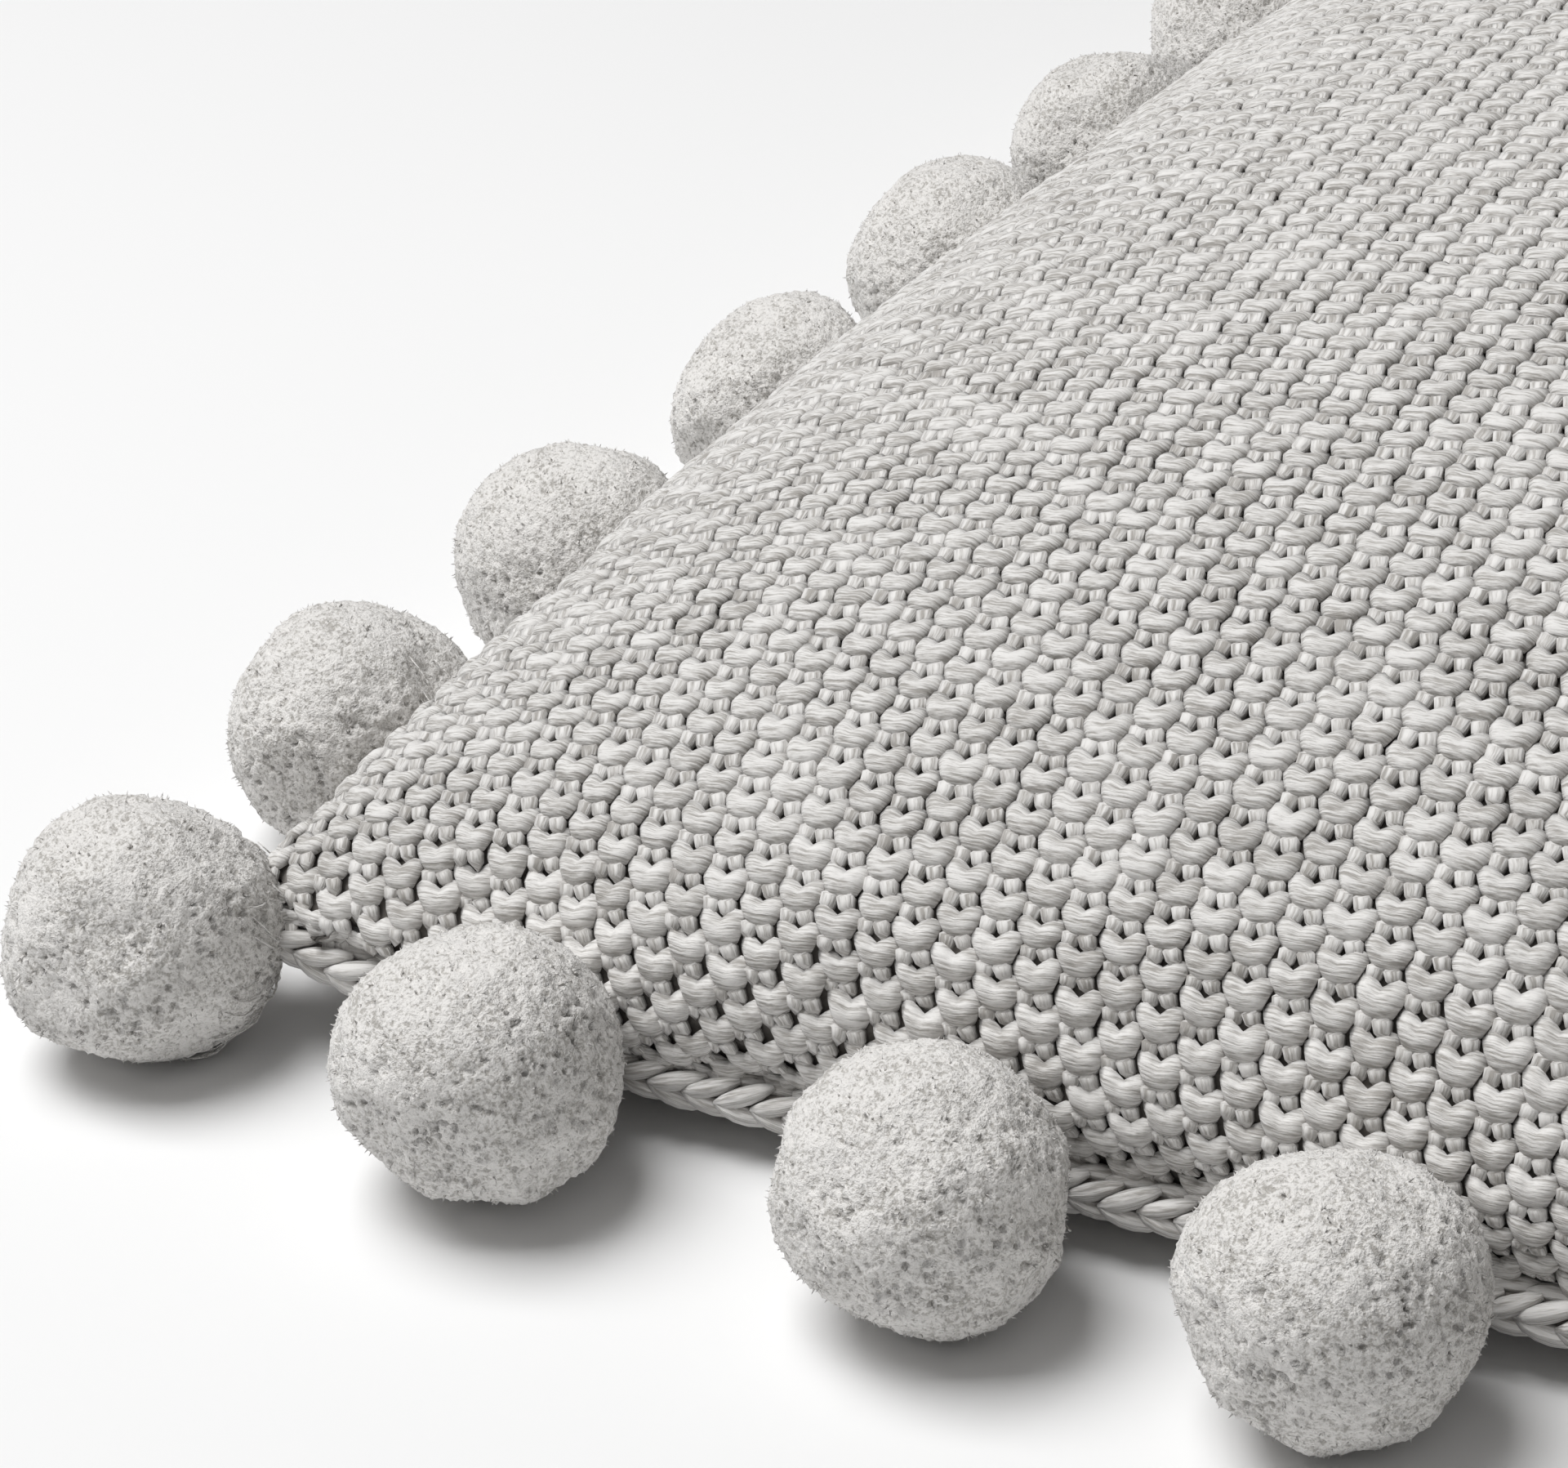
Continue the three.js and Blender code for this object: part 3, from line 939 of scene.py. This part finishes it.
# a pointed wisp of fibre that stands on the pile
def tuftPiece():
    wide = pom["tuftWidth"]
    points = [Vector((0.3 * wide, 0, pom["tuftHeight"] * 0.55))]
    for k in range(3):
        turn = 2 * math.pi * k / 3
        points.append(Vector((wide * math.cos(turn), wide * math.sin(turn), -pom["tuftHeight"] * 0.45)))
    return meshObject("tuft", points, [(1, 2, 0), (2, 3, 0), (3, 1, 0), (3, 2, 1)])


# a longer yarn end lying over the ball: a thin arched strip along +X
def splayPiece():
    points, rings = [], []
    steps = 4
    for r in range(steps + 1):
        t = r / steps
        wide = pom["splayWidth"] * (1.0 - 0.55 * t)
        middle = Vector((pom["splayLength"] * t, pom["splayCurl"] * math.sin(3 * t),
                         pom["splayArch"] * math.sin(math.pi * t) - pom["splayDroop"] * t * t))
        rings.append(addRing(points, middle, Vector((0, 0, wide)), Vector((0, -wide, 0)), 3))
    return meshObject("splay", points, tubeFaces(rings))


# slow unevenness of a hand-trimmed ball: soft lumps, and flats where the scissors went
def lumpHeight(direction, waves, cuts):
    height = sum(size * math.sin(direction.dot(axis) + phase) for axis, phase, size in waves)
    flat = min((pom["radius"] - depth) / max(0.3, direction.dot(axis)) for axis, depth in cuts)
    return height + min(0, flat - pom["radius"])


def anyWay(chance):
    return Vector((chance.gauss(0, 1), chance.gauss(0, 1), chance.gauss(0, 1)))


def outwardTurn(direction, chance):
    side = anyWay(chance).cross(direction)
    return frameOf(side, direction.cross(side))


# the cut surface: a fine ball whose every point is the end of one yarn
def pileSurface(name, waves, cuts, chance):
    ball = bmesh.new()
    bmesh.ops.create_icosphere(ball, subdivisions=6, radius=1.0)
    offset = anyWay(chance) * 20
    picks = []
    for end in ball.verts:
        direction = end.co.normalized()
        height = pom["radius"] + lumpHeight(direction, waves, cuts)
        height += pom["clumps"] * noise.noise(direction * pom["clumpScale"] + offset)
        height += pom["clumps"] * 0.8 * noise.noise(direction * pom["fineClumpScale"] + offset)
        pick = chance.random()
        height += pom["grain"] * chance.gauss(0, 1)
        if pick < pom["pits"] * (1 + 1.5 * noise.noise(direction * pom["pitScale"] - offset)):
            height -= pom["pitDepth"]
            pick *= 0.5
        end.co = direction * height
        picks.append(pick)
    mesh = bpy.data.meshes.new(name)
    ball.to_mesh(mesh)
    ball.free()
    mesh.attributes.new("pick", "FLOAT", "POINT").data.foreach_set("value", picks)
    mesh.shade_smooth()
    return keep(bpy.data.objects.new(name, mesh))


# one trimmed ball round the origin, its tie towards +Y
def pomKind(index, material, tuft, splay):
    chance = random.Random(pom["seed"] + index)
    waves = [(anyWay(chance).normalized() * chance.uniform(2.0, 5.5), chance.uniform(0, 2 * math.pi),
              pom["lumps"] * chance.uniform(0.25, 0.6)) for _ in range(6)]
    cuts = [(anyWay(chance).normalized(), chance.uniform(*pom["cutDepth"])) for _ in range(pom["cuts"])]
    surface = pileSurface("pileSurface", waves, cuts, chance)
    setMaterial(surface, material)
    wisps = []
    for _ in range(pom["tufts"]):
        direction = anyWay(chance).normalized()
        height = pom["radius"] + lumpHeight(direction, waves, cuts)
        grow = chance.uniform(0.7, 1.3)
        wisps.append((direction * height, outwardTurn(direction, chance), grow, grow))
    spread = []
    for _ in range(pom["splayed"]):
        fromTie = Vector((chance.gauss(0, 0.38), 1, chance.gauss(0, 0.38))).normalized()
        along = fromTie - Vector((0, 1, 0)) * fromTie.y + anyWay(chance) * 0.16
        along = (along - fromTie * along.dot(fromTie)).normalized()
        height = pom["radius"] + lumpHeight(fromTie, waves, cuts) - 0.0002
        grow = chance.uniform(0.6, 1.3)
        spread.append((fromTie * height, frameOf(along, fromTie.cross(along)), grow, grow))
    pile = repeated(siteMesh("wispSites", wisps), "wisps", tuft, material,
                    wander=0.6, unevenness=0.15, seed=pom["seed"] + index)
    fringe = repeated(siteMesh("splaySites", spread), "fringe", splay, material,
                      wander=0.12, unevenness=0.15, seed=pom["seed"] + index)
    return joined(surface, pile, fringe)


# three plies of yarn twisted round each other from the seam into the ball
def tieMesh(name, start, end, material):
    axis = (end - start).normalized()
    side = axis.cross(Vector((0, 0, 1))).normalized()
    up = side.cross(axis)
    parts = []
    rows, rounds, plies = 8, 6, 3
    for ply in range(plies):
        points, uvs, rings = [], [], []
        for r in range(rows + 1):
            t = r / rows
            swing = 2 * math.pi * (ply / plies + 0.6 * t)
            offset = pom["tieRadius"] * 0.5
            middle = start.lerp(end, t) + (side * math.cos(swing) + up * math.sin(swing)) * offset
            rings.append(addRing(points, middle, side * offset * 1.1, up * offset * 1.1, rounds))
            uvs += [(t, k / rounds) for k in range(rounds)]
        parts.append((points, uvs, tubeFaces(rings, turned=True)))
    return yarnPiece(name, parts, material)


def makePoms():
    pile = pomMaterial()
    tuft, splay = tuftPiece(), splayPiece()
    kinds = [pomKind(k, pile, tuft, splay) for k in range(pom["kinds"])]
    bpy.data.objects.remove(tuft)
    bpy.data.objects.remove(splay)
    chance = random.Random(pom["seed"])
    hinges = {joint["child"]: joint for joint in frame["joints"]}
    names = sorted(n for n in nodes if n.startswith("pompom_"))
    steps = len(names) // 4
    corners = names[::steps]
    ties = [seamPoint(side, 2 * k / steps - 1) for side in range(4) for k in range(steps)]
    face = (frontGrid + gridNormals(frontGrid) * pom["press"]).reshape(-1, 3)
    cover = BVHTree.FromPolygons([Vector(p) for p in face], gridFaces(*frontGrid.shape[:2]))
    for name in names:
        hinge = Vector(hinges[name]["pos_m"])
        centre = ballCentre(name, hinge)
        inward = (hinge - centre).normalized()
        turn = Vector((0, 1, 0)).rotation_difference(inward).to_matrix()
        spin = Matrix.Rotation(chance.uniform(0, 2 * math.pi), 3, "Y")
        stretch = Matrix.Diagonal((1, chance.uniform(0.96, 1.02), 1))
        centre += Vector(pom["settled"].get(name, (0, 0, 0))) * 0.001
        outline = Matrix.Scale(chance.uniform(*pom["wide"]), 3, Vector((inward.y, -inward.x, 0)))
        if name in corners:
            outline = Matrix.Scale(pom["wide"][1], 3, Vector((inward.x, inward.y, 0)).normalized())
        mesh = kinds[chance.randrange(pom["kinds"])].data.copy()
        mesh.transform(Matrix.Translation(centre) @ (outline @ turn @ spin @ stretch).to_4x4())
        settleOnFloor(mesh)
        pressOn(cover, mesh, centre, inward)
        ball = keep(bpy.data.objects.new(name + "_pile", mesh))
        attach(ball, name)
        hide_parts(name)
        root = min(ties, key=lambda spot: (spot.xy - hinge.xy).length)
        tip = centre + (root - centre) * 0.3
        tie = tieMesh(name + "_tie", root, tip, knitYarn)
        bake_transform(tie)
    for kind in kinds:
        bpy.data.objects.remove(kind)


# middle of a CAD pom-pom's ball: the turned shape's axis runs through its hinge
def ballCentre(name, hinge):
    low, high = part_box(name)
    corners = np.array([v.co for v in nodes[name].data.vertices])
    far = corners[np.argmax(np.linalg.norm(corners - np.array(hinge), axis=1))]
    reach = np.linalg.norm(far - np.array(hinge))
    ballRadius = (high.z - low.z) / 2
    return hinge + (Vector(far) - hinge) / reach * (reach - ballRadius)


# pile that would go through the cover lies flat against it
def pressOn(cover, mesh, centre, inward):
    for vertex in mesh.vertices:
        if (vertex.co - centre).dot(inward) < 0:
            continue
        nearest, normal, _, _ = cover.find_nearest(vertex.co, 0.02)
        if nearest:
            depth = (nearest - vertex.co).dot(normal)
            if (nearest - vertex.co).length * 0.9 < depth:   # right below the face, not past its rim
                vertex.co += normal * depth


# loose ends that would go through the floor bend flat on it
def settleOnFloor(mesh):
    points = np.empty(len(mesh.vertices) * 3)
    mesh.vertices.foreach_get("co", points)
    points = points.reshape(-1, 3)
    floor = 0.0004
    points[:, 2] = np.where(points[:, 2] < floor, floor + (points[:, 2] - floor) * 0.05, points[:, 2])
    points[:, 2] = np.maximum(points[:, 2], 0.0)
    mesh.vertices.foreach_set("co", points.ravel())
    mesh.update()


makePoms()
print("pom-poms ready")


insert = {
    "inset": 0.0095,          # from the panels' outer faces to the case
    "sideGap": 0.003,
    "caseThickness": 0.0009,
    "aboveSeam": 0.0006,      # gaps that keep the two cases apart at their seam
    "belowSeam": 0.0004,
    "lumps": 0.0012,          # unevenness of the filling
    "fillSink": 0.0015,       # from the case down to the filling
    "fillRise": 0.0008,
    "thinnest": 0.0005,
    "steps": 40,
}


def insertGrids(inset):
    u, v = np.meshgrid(evenSteps(insert["steps"]), evenSteps(insert["steps"]))
    top = panelPoints(u, v, True, inset + insert["sideGap"])
    bottom = panelPoints(u, v, False, inset)
    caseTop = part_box("insert_case_front")[1].z - inset + insert["inset"]
    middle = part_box("insert_case_back")[1].z
    rise = (top[..., 2] - seamHeight) / (top[..., 2].max() - seamHeight)
    room = caseTop - middle - insert["aboveSeam"] - insert["belowSeam"]
    top[..., 2] = middle + insert["aboveSeam"] + rise * room
    bottom[..., :2] = top[..., :2]
    fall = bottom[..., 2].max() - bottom[..., 2]
    bottom[..., 2] = np.maximum(inset, middle - fall - insert["belowSeam"])
    return top, bottom


def makeInsert():
    cotton = wovenMaterial("insert_cotton_cloth", rgba(0.86, 0.85, 0.83), rgba(0.66, 0.65, 0.63), 900.0)
    top, bottom = insertGrids(insert["inset"])
    innerTop, innerBottom = insertGrids(insert["inset"] + insert["caseThickness"])
    cases = (("insert_case_front", top, innerTop), ("insert_case_back", innerBottom, bottom))
    for name, upper, lower in cases:
        case = closedBetween(name + "_cloth", upper, lower)
        setMaterial(case, cotton)
        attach(case, rootBody)
        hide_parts(name)
    fillTop, fillBottom = insertGrids(insert["inset"] + 2.5 * insert["caseThickness"])
    lumps = insert["lumps"] * np.sin(fillTop[..., 0] * 90) * np.sin(fillTop[..., 1] * 75)
    fillTop[..., 2] -= insert["fillSink"] + lumps
    fillBottom[..., 2] = np.minimum(fillBottom[..., 2] + insert["fillRise"],
                                    fillTop[..., 2] - insert["thinnest"])
    wad = closedBetween("fibre_filling_wad", fillTop, fillBottom)
    setMaterial(wad, fillMaterial())
    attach(wad, rootBody)
    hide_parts("fibre_filling")


makeInsert()
print("insert ready")


zipLook = {"coilPitch": 0.0014, "wire": 0.00032, "tapeBevel": 0.0002, "metalBevel": 0.00025}


def makeZip():
    tape = wovenMaterial("zip_tape_twill", rgba(0.74, 0.73, 0.71), rgba(0.55, 0.54, 0.52), 1600.0)
    nylon = coilMaterial()
    nickel = metalMaterial()
    for name in ("zip_tape_near", "zip_tape_far"):
        rounded(name, tape, zipLook["tapeBevel"], "_weave", rootBody)
    for name, body in (("zip_stop_closed_end", rootBody), ("zip_stop_open_end", rootBody),
                       ("zip_slider", "zip_slider"), ("zip_pull_tab", "zip_pull_tab")):
        rounded(name, nickel, zipLook["metalBevel"], "_cast", body)
    for name in ("zip_coil_near", "zip_coil_far"):
        coil = coilMesh(name + "_filament", *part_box(name))
        setMaterial(coil, nylon)
        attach(coil, rootBody)
        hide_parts(name)


# a CAD piece with its doubles merged and its edges softened
def rounded(name, material, width, suffix, body):
    piece = keep(bpy.data.objects.new(name + suffix, nodes[name].data.copy()))
    weld = piece.modifiers.new("weld", "WELD")
    weld.merge_threshold = 0.00001
    flat = piece.modifiers.new("flat", "DECIMATE")
    flat.decimate_type = "DISSOLVE"
    flat.angle_limit = math.radians(1)
    soft = piece.modifiers.new("soft", "BEVEL")
    soft.width = width
    soft.segments = 2
    soft.limit_method = "ANGLE"
    piece = finished(piece, name + suffix)
    setMaterial(piece, material)
    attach(piece, body)
    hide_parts(name)
    return piece


# one filament wound in flat turns along the zip
def coilMesh(name, low, high):
    wire = zipLook["wire"]
    turns = int((high.x - low.x) / zipLook["coilPitch"])
    middle = (low + high) / 2
    halfWide = (high.y - low.y) / 2 - wire
    halfTall = (high.z - low.z) / 2 - wire
    stepsPerTurn, rounds = 6, 4
    points, rings = [], []
    total = turns * stepsPerTurn
    for i in range(total + 1):
        turn = 2 * math.pi * i / stepsPerTurn
        place = Vector((low.x + wire + (high.x - low.x - 2 * wire) * i / total,
                        middle.y + halfWide * math.cos(turn), middle.z + halfTall * math.sin(turn)))
        outward = Vector((0, math.cos(turn), math.sin(turn)))
        rings.append(addRing(points, place, outward * wire, Vector((wire, 0, 0)), rounds))
    return meshObject(name, points, tubeFaces(rings))


makeZip()
for spare in (fineStitch, plainStitch):
    bpy.data.objects.remove(spare)
print("zip ready")


camera = {"place": (0.2033, -0.7595, 0.4212), "heading": 33.1, "pitch": 28.9, "roll": -4.36, "lens": 109.1}


def makeCamera():
    data = bpy.data.cameras.new("camera")
    data.lens = camera["lens"]
    data.sensor_width = 36.0
    data.clip_start = 0.01
    data.clip_end = 50
    obj = keep(bpy.data.objects.new("camera", data))
    turn = (Matrix.Rotation(math.radians(camera["heading"]), 4, "Z")
            @ Matrix.Rotation(math.radians(90 - camera["pitch"]), 4, "X")
            @ Matrix.Rotation(math.radians(camera["roll"]), 4, "Z"))
    obj.matrix_world = Matrix.Translation(camera["place"]) @ turn
    scene.camera = obj


def makeFloor():
    reach = 6
    corners = [(-reach, -reach, 0), (reach, -reach, 0), (reach, reach, 0), (-reach, reach, 0)]
    floor = meshObject("floor", corners, [(0, 1, 2, 3)], smooth=False)
    shader = Shader("floor_paper", roughness=0.9)
    cloud = shader.noise(shader.objectPlace(), 3.0)
    tone = shader.mix(cloud, rgba(0.86, 0.86, 0.86), rgba(0.88, 0.88, 0.88))
    setMaterial(floor, shader.wear(Base_Color=tone))


lights = {
    "key": {"from": (-0.42, -0.22, 1.00), "distance": 2.2, "size": 1.4, "watts": 49.0},
    "fill": {"from": (0.1, -1.0, 1.1), "distance": 2.6, "size": 2.0, "watts": 3.0},
    "surround": 0.11,        # strength of the even light from all round
}


def makeLights():
    for name in ("key", "fill"):
        light = lights[name]
        data = bpy.data.lights.new(name, "AREA")
        data.size = light["size"]
        data.energy = light["watts"]
        obj = keep(bpy.data.objects.new(name, data))
        obj.location = Vector(light["from"]).normalized() * light["distance"]
        obj.rotation_euler = Vector(light["from"]).to_track_quat("Z", "Y").to_euler()
    world = bpy.data.worlds.new("studio")
    world.use_nodes = True
    world.node_tree.nodes["Background"].inputs["Color"].default_value = rgba(1, 1, 1)
    world.node_tree.nodes["Background"].inputs["Strength"].default_value = lights["surround"]
    scene.world = world
    scene.view_settings.view_transform = "Standard"


makeCamera()
makeFloor()
makeLights()
